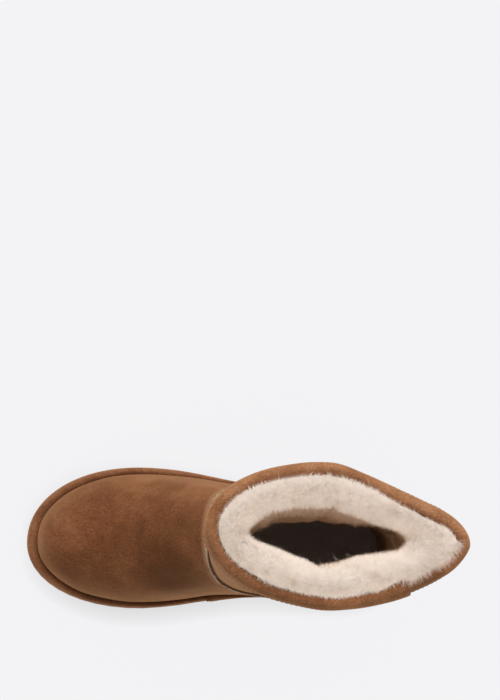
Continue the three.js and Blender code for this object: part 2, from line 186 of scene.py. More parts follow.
def pointTree(spots):
    tree = KDTree(len(spots))
    for i, spot in enumerate(spots):
        tree.insert(Vector(spot), i)
    tree.balance()
    return tree


def relax(spots, passes):  # evens out a path between its ends
    for turn in range(passes):
        spots[1:-1] = 0.25 * spots[:-2] + 0.5 * spots[1:-1] + 0.25 * spots[2:]


def ringFaces(rings, sides):  # the faces of a closed strip whose points go ring by ring
    faces = []
    for i in range(rings - 1):
        for k in range(sides):
            a, b = i * sides + k, i * sides + (k + 1) % sides
            faces.append((a, b, b + sides, a + sides))
    faces.append(tuple(range(sides - 1, -1, -1)))
    faces.append(tuple(range((rings - 1) * sides, rings * sides)))
    return faces


def finishPiece(piece, material, slot, *replaced):
    piece.data.materials.clear()
    piece.data.materials.append(material)
    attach(piece, "root")
    if replaced:
        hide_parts(*replaced)


class Wire:  # a socket that takes part in sums
    def __init__(self, shader, socket):
        self.shader = shader
        self.socket = socket

    def math(self, operation, first, second=0.0):
        return self.shader.add("ShaderNodeMath", {"operation": operation}, {0: first, 1: second})[0]

    def __add__(self, other):
        return self.math("ADD", self, other)

    def __radd__(self, other):
        return self.math("ADD", other, self)

    def __sub__(self, other):
        return self.math("SUBTRACT", self, other)

    def __rsub__(self, other):
        return self.math("SUBTRACT", other, self)

    def __mul__(self, other):
        return self.math("MULTIPLY", self, other)

    def __rmul__(self, other):
        return self.math("MULTIPLY", other, self)


class Shader:
    def __init__(self, name):
        self.material = bpy.data.materials.new(name)
        self.material.use_nodes = True
        self.tree = self.material.node_tree
        self.tree.nodes.clear()

    # Any node: its type, its settings, then the values or links of its sockets.
    def add(self, kind, settings=None, inputs=None):
        node = self.tree.nodes.new(kind)
        for key, value in (settings or {}).items():
            if key == "stops":
                self.setStops(node, value)
            else:
                setattr(node, key, value)
        for key, value in (inputs or {}).items():
            if isinstance(value, Wire):
                self.tree.links.new(value.socket, node.inputs[key])
            else:
                node.inputs[key].default_value = value
        return [Wire(self, socket) for socket in node.outputs]

    def setStops(self, node, stops):
        elements = node.color_ramp.elements
        while len(elements) < len(stops):
            elements.new(0.5)
        for element, (position, colour) in zip(elements, stops):
            element.position = position
            element.color = (*colour, 1.0)

    def place(self):
        return self.add("ShaderNodeTexCoord")[3]

    def stretched(self, scale):
        return self.add("ShaderNodeMapping", {}, {"Vector": self.place(), "Scale": scale})[0]

    def noise(self, size, detail=3.0, roughness=0.55, distortion=0.0, vector=None):
        values = {
            "Vector": vector or self.place(),
            "Scale": 1 / size,
            "Detail": detail,
            "Roughness": roughness,
            "Distortion": distortion,
        }
        return self.add("ShaderNodeTexNoise", {}, values)[0]

    def attribute(self, name):
        return self.add("ShaderNodeAttribute", {"attribute_name": name})[2]

    def ramp(self, factor, stops):
        return self.add("ShaderNodeValToRGB", {"stops": stops}, {0: factor})[0]

    def spread(self, factor, low, high):  # 0 at low, 1 at high, held outside
        values = {"Value": factor, "From Min": low, "From Max": high}
        return self.add("ShaderNodeMapRange", {"clamp": True}, values)[0]

    def blendColours(self, factor, first, second):
        settings = {"data_type": "RGBA", "blend_type": "MIX", "clamp_factor": True}
        return self.add("ShaderNodeMix", settings, {0: factor, 6: first, 7: second})[2]

    def relief(self, height, distance, strength=1.0, normal=None):
        values = {"Height": height, "Distance": distance, "Strength": strength}
        if normal:
            values["Normal"] = normal
        return self.add("ShaderNodeBump", {}, values)[0]

    def finish(self, values):
        surface = self.add("ShaderNodeBsdfPrincipled", {}, values)[0]
        self.add("ShaderNodeOutputMaterial", {}, {"Surface": surface})
        return self.material


suedeLook = {
    "dark": (0.077, 0.0262, 0.0104),
    "middle": (0.150, 0.053, 0.0215),
    "light": (0.250, 0.102, 0.045),
    # painted sheen: the lighter colour laid where the nap would catch light at a low angle
    "paintedSheen": (0.46, 0.265, 0.145),
    "bloom": (1.0, 0.56, 0.28, 1),  # what the nap shows at a low angle
    "patchSize": 34 * mm,
    "mottleSize": 11 * mm,
    "napSize": 1.25 * mm,
    "grainSize": 0.42 * mm,
    "streakSize": 1.4 * mm,
    "streakScale": (0.22, 1, 1),  # the nap is brushed along the foot
}


def suede(name, look):
    shader = Shader(name)
    patch = shader.noise(look["patchSize"], detail=2, distortion=0.6)
    mottle = shader.noise(look["mottleSize"], detail=4, roughness=0.6, distortion=0.4)
    nap = shader.noise(look["napSize"], detail=3, roughness=0.65)
    grain = shader.noise(look["grainSize"], detail=2, roughness=0.7)
    streak = shader.noise(look["streakSize"], detail=2, vector=shader.stretched(look["streakScale"]))
    # The tone is shifted by an attribute that holds the nap's own patches and painted shade.
    tone = 0.22 * patch + 0.16 * mottle + 0.28 * nap + 0.10 * streak + 0.24 * grain + shader.attribute("brush")
    colour = shader.ramp(tone, [(0.385, look["dark"]), (0.50, look["middle"]), (0.63, look["light"])])
    # Painted sheen: the nap is coloured lighter along the seams, at the foot of the skin and on the shaft.
    rub = shader.attribute("rub") * (0.55 + 0.6 * nap)
    colour = shader.blendColours(rub, colour, (*look["paintedSheen"], 1))
    height = 0.5 * grain + 0.5 * nap
    normal = shader.relief(height, 0.22 * mm, 0.9)
    normal = shader.relief(mottle, 0.5 * mm, 0.5, normal)
    return shader.finish({
        "Base Color": colour,
        "Roughness": 0.86 + 0.12 * grain,
        "Specular IOR Level": 0.03,
        "Sheen Weight": 0.42,
        "Sheen Roughness": 0.5,
        "Sheen Tint": look["bloom"],
        "Normal": normal,
    })


suedeMaterial = suede("suedeBrown", suedeLook)
bindingMaterial = suede("suedeTape", {
    **suedeLook,
    "dark": (0.15, 0.062, 0.028),
    "middle": (0.285, 0.124, 0.056),
    "light": (0.50, 0.25, 0.13),
})
randMaterial = suede("suedeRandBrown", {
    **suedeLook,
    "dark": (0.115, 0.045, 0.020),
    "middle": (0.215, 0.088, 0.040),
    "light": (0.36, 0.165, 0.085),
})
cutEdgeMaterial = suede("suedeCutEdge", {
    **suedeLook,
    "dark": (0.07, 0.030, 0.015),
    "middle": (0.13, 0.062, 0.032),
    "light": (0.24, 0.13, 0.072),
})

woolLook = {
    "deep": (0.55, 0.325, 0.175),
    "shade": (0.66, 0.48, 0.345),
    "cream": (0.815, 0.69, 0.585),
    "white": (0.875, 0.78, 0.695),
    "felted": (0.50, 0.30, 0.17),
    "buried": (0.205, 0.172, 0.15),  # painted shade: the colour where it sees next to nothing of the room
    "buriedFrom": 0.01,
    "buriedTo": 0.09,
    "clumpSize": 9 * mm,
    "darkFrom": 0.07,  # painted shade: the wool is coloured warmer and darker where it sees little of the room above
    "lightFrom": 0.62,
    "patchSize": 22 * mm,  # of the felted patches
    "fineSize": 1.2 * mm,
    "fibreSize": 0.35 * mm,
    "glow": [  # painted light: a glow that stands in for light let through by the wool around it
        (0.04, (0, 0, 0)),
        (0.20, (0.06, 0.037, 0.018)),
        (0.42, (0.12, 0.100, 0.082)),
        (1.0, (0.22, 0.185, 0.150)),
    ],
}


def wool(name, look):
    shader = Shader(name)
    clump = shader.noise(look["clumpSize"], detail=3, distortion=0.5)
    fine = shader.noise(look["fineSize"], detail=3, roughness=0.7)
    fibre = shader.noise(look["fibreSize"], detail=2, roughness=0.8)
    lit = shader.attribute("lit")
    depth = shader.spread(lit, look["darkFrom"], look["lightFrom"])
    along = shader.attribute("along")
    tint = shader.attribute("tint")
    patch = shader.noise(look["patchSize"], detail=2)
    # The roots are coloured darker than the tips through 'along': painted shade among the blades.
    tone = 0.24 * clump + 0.10 * fine + 0.26 * along + 0.40 * tint
    colour = shader.ramp(tone, [(0.22, look["shade"]), (0.42, look["cream"]), (0.66, look["white"])])
    felt = 0.35 * shader.spread(patch, 0.60, 0.74)
    colour = shader.blendColours(felt, colour, (*look["felted"], 1))
    # Painted shade: warmer and darker where the wool sees little of the room above.
    colour = shader.blendColours(0.9 * (1 - depth), colour, (*look["deep"], 1))
    # Painted shade: darker where the wool sees next to nothing of the room.
    airy = shader.spread(lit, look["buriedFrom"], look["buriedTo"])
    colour = shader.blendColours(0.8 * (1 - airy), colour, (*look["buried"], 1))
    normal = shader.relief(0.6 * fine + 0.4 * fibre, 0.4 * mm, 0.5)
    return shader.finish({
        "Base Color": colour,
        "Roughness": 0.95,
        "Specular IOR Level": 0.05,
        "Sheen Weight": 0.12,
        "Sheen Roughness": 0.6,
        "Sheen Tint": (1.0, 0.9, 0.8, 1),
        "Emission Color": shader.ramp(shader.attribute("shine"), look["glow"]),
        "Emission Strength": 1.0,
        "Normal": normal,
    })


woolMaterial = wool("sheepWool", woolLook)
insoleMaterial = wool("insoleWool", {**woolLook, "deep": (0.66, 0.63, 0.63), "buried": (0.66, 0.63, 0.63)})

soleLook = {
    "dark": (0.10, 0.042, 0.021),
    "middle": (0.165, 0.075, 0.038),
    "light": (0.24, 0.12, 0.065),
    "cloudSize": 18 * mm,
    "pebbleSize": 0.9 * mm,
    "speckSize": 0.3 * mm,
}


def moulded(name, look):
    shader = Shader(name)
    cloud = shader.noise(look["cloudSize"], detail=3)
    pebble = shader.noise(look["pebbleSize"], detail=2, roughness=0.5)
    speck = shader.noise(look["speckSize"], detail=2)
    tone = 0.4 * cloud + 0.3 * pebble + 0.3 * speck
    colour = shader.ramp(tone, [(0.35, look["dark"]), (0.5, look["middle"]), (0.68, look["light"])])
    return shader.finish({
        "Base Color": colour,
        "Roughness": 0.62 + 0.2 * pebble,
        "Specular IOR Level": 0.3,
        "Normal": shader.relief(pebble, 0.15 * mm, 0.8),
    })


soleMaterial = moulded("soleFoam", soleLook)


threadLook = {
    "cream": (0.74, 0.585, 0.42),
    "brown": (0.10, 0.052, 0.030),
    "twistSize": 0.5 * mm,
    "twistDark": 0.6,  # painted shade: the share of its colour in the hollows between the twists
}


def cotton(name, colour):
    shader = Shader(name)
    twist = shader.noise(threadLook["twistSize"], detail=2)
    dark = tuple(threadLook["twistDark"] * c for c in colour)
    tone = shader.ramp(twist, [(0.3, dark), (0.7, colour)])
    return shader.finish({"Base Color": tone, "Roughness": 0.9, "Normal": shader.relief(twist, 0.1 * mm, 0.7)})


threadMaterial = cotton("creamThread", threadLook["cream"])
brownThreadMaterial = cotton("brownThread", threadLook["brown"])
print("materials made")

# The boot's core line, which tells outside from inside.
corePoints = [
    Vector((shaftCentre.x, shaftCentre.y, collarZ + 20 * mm)),
    Vector((shaftCentre.x, shaftCentre.y, 60 * mm)),
    Vector((0.25 * toeX, 2 * mm, 42 * mm)),
    Vector((0.8 * toeX, 1 * mm, 32 * mm)),
]


def nearestCore(point):
    best = None
    for first, second in zip(corePoints, corePoints[1:]):
        step = second - first
        share = max(0.0, min(1.0, (point - first).dot(step) / step.length_squared))
        spot = first + step * share
        if best is None or (spot - point).length < (best - point).length:
            best = spot
    return best


def facesOut(face):
    centre = face.calc_center_median()
    return face.normal.dot(centre - nearestCore(centre)) > 0


# Where the nap's colour lies darker or lighter: partly its own tone, partly painted shade, strongest low on the
# inner side of the vamp beside the shaft, where the shaft's shade falls.
napAndShadeMarks = [
    {"place": (0.028, 0.031, 0.070), "size": 17 * mm, "shift": -0.25},
    {"place": (0.048, 0.010, 0.080), "size": 26 * mm, "shift": -0.05},
    {"place": (0.027, 0.003, 0.090), "size": 15 * mm, "shift": -0.06},
    {"place": (0.012, -0.034, 0.078), "size": 16 * mm, "shift": 0.09},
    {"place": (0.060, -0.038, 0.055), "size": 24 * mm, "shift": 0.05},
    {"place": (0.106, -0.016, 0.055), "size": 20 * mm, "shift": 0.04},
    {"place": (0.110, 0.018, 0.050), "size": 14 * mm, "shift": -0.03},
    {"place": (-0.060, 0.048, 0.150), "size": 34 * mm, "shift": 0.05},
    {"place": (-0.090, -0.035, 0.120), "size": 30 * mm, "shift": -0.05},
    {"place": (-0.125, 0.010, 0.140), "size": 24 * mm, "shift": 0.05},
]


def napAndShadeTone(points):
    total = np.zeros(len(points))
    for mark in napAndShadeMarks:
        away = np.linalg.norm(points - np.array(mark["place"]), axis=1)
        total += mark["shift"] * bump(away, mark["size"])
    return total


skinSizes = {
    "levels": 2,
    "thickness": 1.4 * mm,
    "hug": 1.1 * mm,  # how far the toe swells over the strip round its foot
    "hugHeight": 8 * mm,
    "lumpSize": 30 * mm,
    "lumpHeight": 0.45 * mm,
    "calmEdge": 9 * mm,  # no lumps or folds this near the foot and the binding
    "underBinding": 6 * mm,  # how far the skin runs up under the binding
    "ridgePlace": 2.1,  # of a fold, in its widths
    "ridgeShare": 0.45,  # of a fold's depth
}

# Soft folds: a trough from place along a direction, with a low ridge on both sides.
folds = [  # place, along, length, width, depth
    ((0.012, 0.000, 0.1120), (-0.1, 1, -0.10), 26 * mm, 5.0 * mm, 1.7 * mm),
    ((0.004, 0.030, 0.1240), (-0.7, 0.6, 0.25), 22 * mm, 5.0 * mm, 1.3 * mm),
    ((0.004, -0.034, 0.1220), (-0.7, -0.6, 0.3), 22 * mm, 5.0 * mm, 1.3 * mm),
    ((-0.118, 0.006, 0.0900), (0.1, 1, 0.10), 24 * mm, 6.0 * mm, 1.6 * mm),
    ((-0.100, 0.030, 0.1080), (0.8, 0.4, 0.25), 26 * mm, 6.5 * mm, 1.4 * mm),
    ((-0.098, -0.030, 0.1020), (0.8, -0.4, 0.3), 28 * mm, 6.5 * mm, 1.4 * mm),
    ((0.040, 0.030, 0.0760), (0.8, 0.2, -0.6), 24 * mm, 7.0 * mm, 1.1 * mm),
    ((0.040, -0.034, 0.0740), (0.8, -0.2, -0.6), 26 * mm, 7.0 * mm, 1.1 * mm),
]


def foldHeights(points):
    total = np.zeros(len(points))
    for place, direction, length, width, depth in folds:
        away = points - np.array(place)
        along = np.array(Vector(direction).normalized())
        run = away @ along
        across = np.linalg.norm(away - np.outer(run, along), axis=1)
        ridge = skinSizes["ridgeShare"] * bump(across - skinSizes["ridgePlace"] * width, width)
        total += depth * (ridge - bump(across, width)) * bump(run, length)
    return total


def makeSkin():
    skin = copyNode("upper", "upperSuede")
    editMode(skin)
    rimZ = collarLow.z + skinSizes["underBinding"]
    pickFaces(skin, lambda f: not facesOut(f) or f.calc_center_median().z > rimZ or f.normal.z < -0.8)
    bpy.ops.mesh.delete(type="FACE")
    objectMode()
    smooth(skin, skinSizes["levels"])
    points = coordinates(skin)
    normals = normalsOf(skin)
    x, y, z = points.T
    edge = skinSizes["calmEdge"]
    calm = 1 - bump(z - featherZ, edge) - bump(z - collarLow.z, edge)
    lumps = skinSizes["lumpHeight"] * lumpiness(points, skinSizes["lumpSize"], 13 / 30)
    lift = (foldHeights(points) + lumps) * np.clip(calm, 0, 1)
    # Most on the outer side, none behind the ankle.
    outerToe = np.clip(1 - (y - 5 * mm) / (22 * mm), 0.1, 1) * np.clip(x / (30 * mm) + 0.6, 0, 1)
    lift += skinSizes["hug"] * bump(z - randTop, skinSizes["hugHeight"]) * outerToe
    setCoordinates(skin, points + normals * lift[:, None])
    return skin


skin = makeSkin()
bed = copyNode("upper", "woolBed")
skinTree = treeOf(skin)
print("skin made", len(skin.data.polygons))


# Where a ray from the core line through a place meets the skin: the point and its outward normal.
def onSkin(place):
    start = nearestCore(place)
    direction = (place - start).normalized()
    spot, normal, index, distance = skinTree.ray_cast(start, direction)
    if spot is None:
        spot, normal, index, distance = skinTree.find_nearest(place)
    if normal.dot(direction) < 0:
        normal = -normal
    return spot, normal


seamSizes = {
    "lipHeight": 1.7 * mm,
    "lipThickness": 0.7 * mm,
    "lipGap": 0.3 * mm,
    "vampDrop": 0.78,  # how steeply the vamp seam falls towards the heel
    "vampBulge": 2 * mm,  # above a straight fall, halfway down
    "pathStep": 1.3 * mm,
    "lipSway": 0.4 * mm,
    "stitchPitch": 2.6 * mm,
    "threadWidth": 0.34 * mm,
    "stitchedFrom": 0.45,  # the share of its height from which a seam shows its thread
    "straysFrom": 0.12,
}


def evenPath(points, step):  # the same path with its points a step apart
    lengths = np.concatenate([[0], np.cumsum(np.linalg.norm(np.diff(points, axis=0), axis=1))])
    count = max(3, int(round(lengths[-1] / step)) + 1)
    wanted = np.linspace(0, lengths[-1], count)
    return np.stack([np.interp(wanted, lengths, points[:, k]) for k in range(3)], axis=1)


# A path on the skin with its normals, from rough places.
def skinPath(places, step):
    spots = np.array([onSkin(Vector(p))[0] for p in places])
    relax(spots, 8)
    path = evenPath(spots, step)
    found = [onSkin(Vector(p)) for p in path]
    return [spot for spot, normal in found], [normal for spot, normal in found]


def frames(spots, normals):  # at each spot: the spot, sideways, up and ahead
    rows = []
    for i, (spot, normal) in enumerate(zip(spots, normals)):
        ahead = spots[min(i + 1, len(spots) - 1)] - spots[max(i - 1, 0)]
        ahead.normalize()
        side = ahead.cross(normal).normalized()
        rows.append((spot, side, side.cross(ahead).normalized(), ahead))
    return rows


# A strip with one cross section, given as (side, up) pairs, swept along a path and closed at its ends.
def sweep(name, spots, normals, section, rises, wobble, seed):
    points = []
    for i, (spot, side, up, ahead) in enumerate(frames(spots, normals)):
        drift = noise.noise(Vector((i * 0.35, seed, 0)))
        rise = noise.noise(Vector((i * 0.5, seed, 7)))
        for across, height in section:
            sway = wobble * (drift if height > 0 else 0)
            tall = height * rises[i] * (1 + 0.2 * rise) if height > 0 else height
            points.append(spot + side * (across * (0.4 + 0.6 * rises[i]) + sway * rises[i]) + up * tall)
    piece = meshFrom(name, points, ringFaces(len(spots), len(section)))
    editMode(piece)
    bpy.ops.mesh.select_all(action="SELECT")
    bpy.ops.mesh.normals_make_consistent(inside=False)
    objectMode()
    return piece


def tubeAlong(path, radius, sides=6):
    points = []
    path = [Vector(p) for p in path]
    for i, spot in enumerate(path):
        ahead = (path[min(i + 1, len(path) - 1)] - path[max(i - 1, 0)]).normalized()
        other = ahead.orthogonal().normalized()
        third = ahead.cross(other)
        for k in range(sides):
            turn = 2 * math.pi * k / sides
            points.append(spot + radius * (math.cos(turn) * other + math.sin(turn) * third))
    return points, ringFaces(len(path), sides)


def joinTubes(name, tubes):
    points, faces = [], []
    for tubePoints, tubeFaces in tubes:
        start = len(points)
        points += tubePoints
        faces += [tuple(start + k for k in face) for face in tubeFaces]
    return meshFrom(name, points, faces)


# Whipped stitches over a raised seam.
def whipStitches(name, spots, normals, rises, sizes, seed):
    shake = random.Random(seed)
    rows = frames(spots, normals)
    step = sizes["stitchPitch"] / (spots[1] - spots[0]).length
    half = sizes["lipThickness"] + sizes["lipGap"] / 2 + sizes["threadWidth"] * 0.5
    top = sizes["lipHeight"] + sizes["threadWidth"] * 0.3
    tubes = []
    position = 1.0
    while position < len(rows) - 3:
        if rises[int(position)] < sizes["stitchedFrom"]:
            position += step
            continue
        tilt = shake.uniform(0.6, 1.0) * sizes["stitchPitch"] * 0.55
        path = []
        for share in np.linspace(0, 1, 9):
            spot, side, up, ahead = rows[int(position)]
            across = half * math.cos(math.pi * share)
            height = top * rises[int(position)] * math.sin(math.pi * share) ** 0.45
            path.append(spot + side * across + up * height + ahead * tilt * (share - 0.5))
        tubes.append(tubeAlong(path, sizes["threadWidth"] * shake.uniform(0.42, 0.55)))
        position += step * shake.uniform(0.88, 1.12)
    return joinTubes(name, tubes)


def seamSection(sizes):
    outer = sizes["lipThickness"] + sizes["lipGap"] / 2
    inner = sizes["lipGap"] / 2
    high = sizes["lipHeight"]
    right = [  # one lip, from the gap to its foot
        (inner, 0.45 * high),
        (inner + 0.1 * mm, 0.92 * high),
        ((outer + inner) / 2, high),
        (outer - 0.3 * mm, 0.94 * high),
        (outer, 0.72 * high),
        (outer, -0.8 * mm),
    ]
    left = [(-across, height) for across, height in reversed(right)]
    return left + right


# The vamp seam starts at the front of the ankle and falls to the sole beside the heel.
def vampSeamPlaces(side):
    places = []
    low = featherZ + 5 * mm
    run = (ankleFront.z - low) / seamSizes["vampDrop"]
    for share in np.linspace(0, 1, 40):
        x = ankleFront.x - run * share
        z = ankleFront.z + seamSizes["vampBulge"] * math.sin(math.pi * share) - (ankleFront.z - low) * share
        if side > 0:  # the inner side starts a little lower
            z -= 3 * mm * bump(share - 0.05, 0.06)
        y = side * 46 * mm * min(1.0, share * 5) ** 0.6
        places.append(Vector((x, y, z)))
    return places


def sideSeamPlaces(side, top, bottom, x):
    return [Vector((x, side * 60 * mm, z)) for z in np.linspace(top, bottom, 30)]


# Loose cream ends that lie along one side of a seam.
def strayThreads(name, spots, normals, rises, count, seed, strayed):
    shake = random.Random(seed)
    rows = frames(spots, normals)
    tubes = []
    for k in range(count):
        start = shake.randrange(2, len(rows) - 12)
        if rises[start] < seamSizes["straysFrom"]:
            continue
        length = shake.randrange(4, 10)
        drift = shake.uniform(-0.4, 0.7) * mm
        curl = shake.uniform(0, 6)
        path = []
        for i in range(length):
            spot, side, up, ahead = rows[start + i]
            reach = seamSizes["lipThickness"] * 0.95 + drift + 0.45 * mm * math.sin(curl + 0.9 * i)
            height = rises[start + i] * seamSizes["lipHeight"] * (1.0 + 0.18 * math.sin(curl + 1.3 * i))
            path.append(spot + side * (strayed * reach) + up * height)
        tubes.append(tubeAlong(path, shake.uniform(0.10, 0.16) * mm, 5))
    finishPiece(joinTubes(name, tubes), threadMaterial, "thread")


def makeSeam(name, places, seed, rise, strays, strayed):
    spots, normals = skinPath(places, seamSizes["pathStep"])
    rises = [rise(spot) for spot in spots]
    ridge = sweep(name, spots, normals, seamSection(seamSizes), rises, seamSizes["lipSway"], seed)
    finishPiece(ridge, cutEdgeMaterial, "suede")
    stitches = whipStitches(name + "Stitches", spots, normals, rises, seamSizes, seed)
    finishPiece(stitches, brownThreadMaterial, "thread")
    strayThreads(name + "Strays", spots, normals, rises, strays, seed, strayed)
    return spots


def vampRise(spot):  # highest on both sides, nearly flat at the front
    return float(np.interp(spot.y, [-39 * mm, -31 * mm, 6 * mm, 22 * mm], [0.9, 0.2, 0.15, 0.7]))


vampPlaces = list(reversed(vampSeamPlaces(1))) + vampSeamPlaces(-1)[1:]
vampSpots = makeSeam("vampSeam", vampPlaces, 3, vampRise, 120, -1)
medialX = collarLow.x + 91 * mm
lateralX = collarLow.x + 80 * mm
for name, side, x, rise, seed in [("medialSeam", 1, medialX, 0.9, 5), ("lateralSeam", -1, lateralX, 0.6, 8)]:
    foot = ankleFront.z - seamSizes["vampDrop"] * (ankleFront.x - x) + 6 * mm
    places = sideSeamPlaces(side, collarLow.z + 3 * mm, foot, x)
    makeSeam(name, places, seed, lambda spot: rise, 26, 1)
print("seams made")

# Painted sheen: the strengths and widths of the lighter bands.
paintedSheen = {
    "seam": 0.45,
    "seamAway": 3 * mm,  # the light line lies this far from the seam
    "seamWidth": 2.0 * mm,
    "rand": 0.9,
    "randWidth": 2.3 * mm,
    "shaft": 0.62,
    "shaftFade": 55 * mm,
}


# Painted sheen: a lighter colour along the seams, where the skin leaves the strip round its foot, and on the
# shaft, where the nap would catch light at a low angle.
def markPaintedSheen(piece):
    points = coordinates(piece)
    seamTree = pointTree(vampSpots)
    toSeam = np.array([seamTree.find(Vector(p))[2] for p in points])
    randTree = treeOf(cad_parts["rand"])
    toRand = np.array([randTree.find_nearest(Vector(p))[3] for p in points])
    aboveSeam = points[:, 2] - (ankleFront.z - seamSizes["vampDrop"] * (ankleFront.x - points[:, 0]))
    shaft = np.clip(aboveSeam / (5 * mm), 0, 1) * np.exp(-np.maximum(aboveSeam, 0) / paintedSheen["shaftFade"])
    shaft *= np.clip((points[:, 0] + 30 * mm) / (40 * mm), 0, 1)
    rub = paintedSheen["seam"] * bump(toSeam - paintedSheen["seamAway"], paintedSheen["seamWidth"])
    rub += paintedSheen["rand"] * bump(toRand, paintedSheen["randWidth"]) + paintedSheen["shaft"] * shaft
    setAttribute(piece, "rub", np.clip(rub, 0, 1))
    setAttribute(piece, "brush", napAndShadeTone(points))


def openEdge(piece):  # the points round its open edges
    mesh = bmesh.new()
    mesh.from_mesh(piece.data)
    spots = [v.co.copy() for v in mesh.verts if v.is_boundary]
    mesh.free()
    return spots


markPaintedSheen(skin)
applyModifier(skin, "SOLIDIFY", thickness=skinSizes["thickness"], offset=-1.0)
finishPiece(skin, suedeMaterial, "suede", "upper")

bindingSizes = {
    "levels": 2,
    "waveSize": 14 * mm,
    "waveHeight": 0.25 * mm,
    "innerShade": 0.07,  # painted shade: how much darker the binding is coloured on the inner side, away from the sun
    "lapStart": 38 * mm,  # the lapped end, from the back of the collar
    "lapLength": 60 * mm,
    "lapTaper": 58 * mm,
    "lapThickness": 1.8 * mm,
}


def makeBinding():
    tape = copyNode("collar_binding", "collarBinding")
    smooth(tape, bindingSizes["levels"])
    points = coordinates(tape)
    normals = normalsOf(tape)
    waves = np.array([noise.noise(Vector(p) / bindingSizes["waveSize"]) for p in points])
    setCoordinates(tape, points + normals * (bindingSizes["waveHeight"] * waves)[:, None])
    # Painted shade on the inner side of the binding.
    innerSide = np.clip((points[:, 1] - shaftCentre.y) / (25 * mm), -0.2, 1)
    setAttribute(tape, "brush", -bindingSizes["innerShade"] * innerSide)
    finishPiece(tape, bindingMaterial, "binding_suede", "collar_binding")
    return tape


tape = makeBinding()
tapeTree = treeOf(tape)

stitchSizes = {
    "bindingRise": 2.2 * mm,  # from the lower edge of the binding
    "bindingPitch": 3.0 * mm,
    "counterInset": 3.3 * mm,
    "counterPitch": 2.6 * mm,
    "threadRadius": 0.28 * mm,
}


# Short stitches along a path on a surface, pressed into it at both ends.
def runningStitches(name, surface, path, pitch):
    found = [surface.find_nearest(Vector(p)) for p in path]
    rows = frames([hit[0] for hit in found], [hit[1] for hit in found])
    perStitch = max(3, int(round(pitch / (rows[1][0] - rows[0][0]).length)))
    tubes = []
    for start in range(0, len(rows) - perStitch, perStitch):
        path = []
        for k in range(perStitch):
            spot, side, up, ahead = rows[start + k]
            share = k / (perStitch - 1)
            path.append(spot + up * (stitchSizes["threadRadius"] * (math.sin(math.pi * share) * 0.9 - 0.5)))
        tubes.append(tubeAlong(path, stitchSizes["threadRadius"], 5))
    finishPiece(joinTubes(name, tubes), brownThreadMaterial, "thread")


def stitchBinding():
    z = collarLow.z + stitchSizes["bindingRise"]
    spots = []
    for share in np.linspace(0, 1, 1400, endpoint=False):
        turn = 2 * math.pi * share
        direction = Vector((math.cos(turn), math.sin(turn), 0))
        hit = tapeTree.ray_cast(Vector((shaftCentre.x, shaftCentre.y, z)) + direction * 0.2, -direction)
        if hit[0] is not None:
            spots.append(hit[0])
    path = evenPath(np.array(spots), 0.6 * mm)
    runningStitches("bindingStitches", tapeTree, path, stitchSizes["bindingPitch"])


stitchBinding()


# A lapped end: a patch of a strip's own surface, lifted over it, with cut edges.
def lapOver(source, name, test, taper, thickness, material, slot):
    lap = duplicate(source, name)
    editMode(lap)
    pickFaces(lap, lambda f: not test(f.calc_center_median()))
    bpy.ops.mesh.delete(type="FACE")
    objectMode()
    setCoordinates(lap, coordinates(lap) - 0.3 * mm * normalsOf(lap))
    group = lap.vertex_groups.new(name="taper")
    for vertex in lap.data.vertices:
        group.add([vertex.index], max(0.0, min(1.0, taper(vertex.co))), "REPLACE")
    applyModifier(lap, "SOLIDIFY", thickness=thickness, offset=1.0, vertex_group="taper")
    finishPiece(lap, material, slot)


bindingEndX = collarLow.x + bindingSizes["lapStart"]
lapOver(tape, "bindingLap",
        lambda c: c.y > shaftCentre.y and bindingEndX < c.x < bindingEndX + bindingSizes["lapLength"],
        lambda c: 1 - (c.x - bindingEndX) / bindingSizes["lapTaper"],
        bindingSizes["lapThickness"], bindingMaterial, "binding_suede")

randSizes = {
    "levels": 2,
    "waistShade": 0.13,  # painted shade: how much darker the strip is coloured at the inner waist, under the shaft
    "waistLength": 60 * mm,
    "lapStart": 139 * mm,  # the lapped end, from the back of the heel
    "lapLength": 40 * mm,
    "lapTaper": 38 * mm,
    "lapThickness": 1.5 * mm,
}


def makeRand():
    rand = copyNode("rand", "suedeRand")
    smooth(rand, randSizes["levels"])
    points = coordinates(rand)
    # Painted shade at the inner waist, under the shaft.
    waist = bump(points[:, 0] - 5 * mm, randSizes["waistLength"]) * np.clip(points[:, 1] / (25 * mm), 0, 1)
    setAttribute(rand, "brush", -randSizes["waistShade"] * waist)
    finishPiece(rand, randMaterial, "suede", "rand")
    return rand


rand = makeRand()
randEndX = heelX + randSizes["lapStart"]
lapOver(rand, "randLap",
        lambda c: c.y > 0 and randEndX - randSizes["lapLength"] < c.x < randEndX,
        lambda c: 1 - (randEndX - c.x) / randSizes["lapTaper"],
        randSizes["lapThickness"], randMaterial, "suede")

counterSizes = {
    "levels": 2,
    "edge": 0.35 * mm,
}


def makeCounter():
    counter = copyNode("heel_counter", "heelCounter")
    applyModifier(counter, "BEVEL", width=counterSizes["edge"], segments=2, limit_method="ANGLE")
    smooth(counter, counterSizes["levels"])
    finishPiece(counter, suedeMaterial, "suede", "heel_counter")
    return counter


counter = makeCounter()


